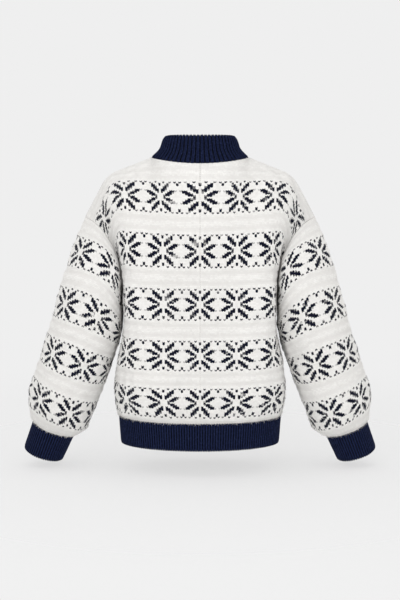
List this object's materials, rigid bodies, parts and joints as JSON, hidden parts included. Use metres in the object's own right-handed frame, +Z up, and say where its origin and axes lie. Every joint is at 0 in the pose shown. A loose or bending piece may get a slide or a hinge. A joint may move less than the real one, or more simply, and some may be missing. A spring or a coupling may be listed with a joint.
{
  "type": "christmas sweater",
  "caption": "Boxy drop-shoulder knitted pullover with bands of Nordic stars and ribbed collar, cuffs and hem, filled out as worn.",
  "frame": {"origin": "middle of the neck opening, level with the tops of the shoulders, where the wearer's neck and shoulders carry it", "axes": "+X to the wearer's left, -Y to the wearer's front, +Z up"},
  "size_m": [0.7502, 0.244, 0.6873],
  "materials": {
    "knit": "thick off-white fleecy knit with navy star bands",
    "rib": "navy ribbed knit"
  },
  "bodies": {
    "root": {"front": "knit", "back_left": "knit", "back_right": "knit", "sleeve_left": "knit", "sleeve_right": "knit", "cuff_left": "rib", "cuff_right": "rib", "hem_band": "rib", "collar": "rib"}
  },
  "joints": []
}
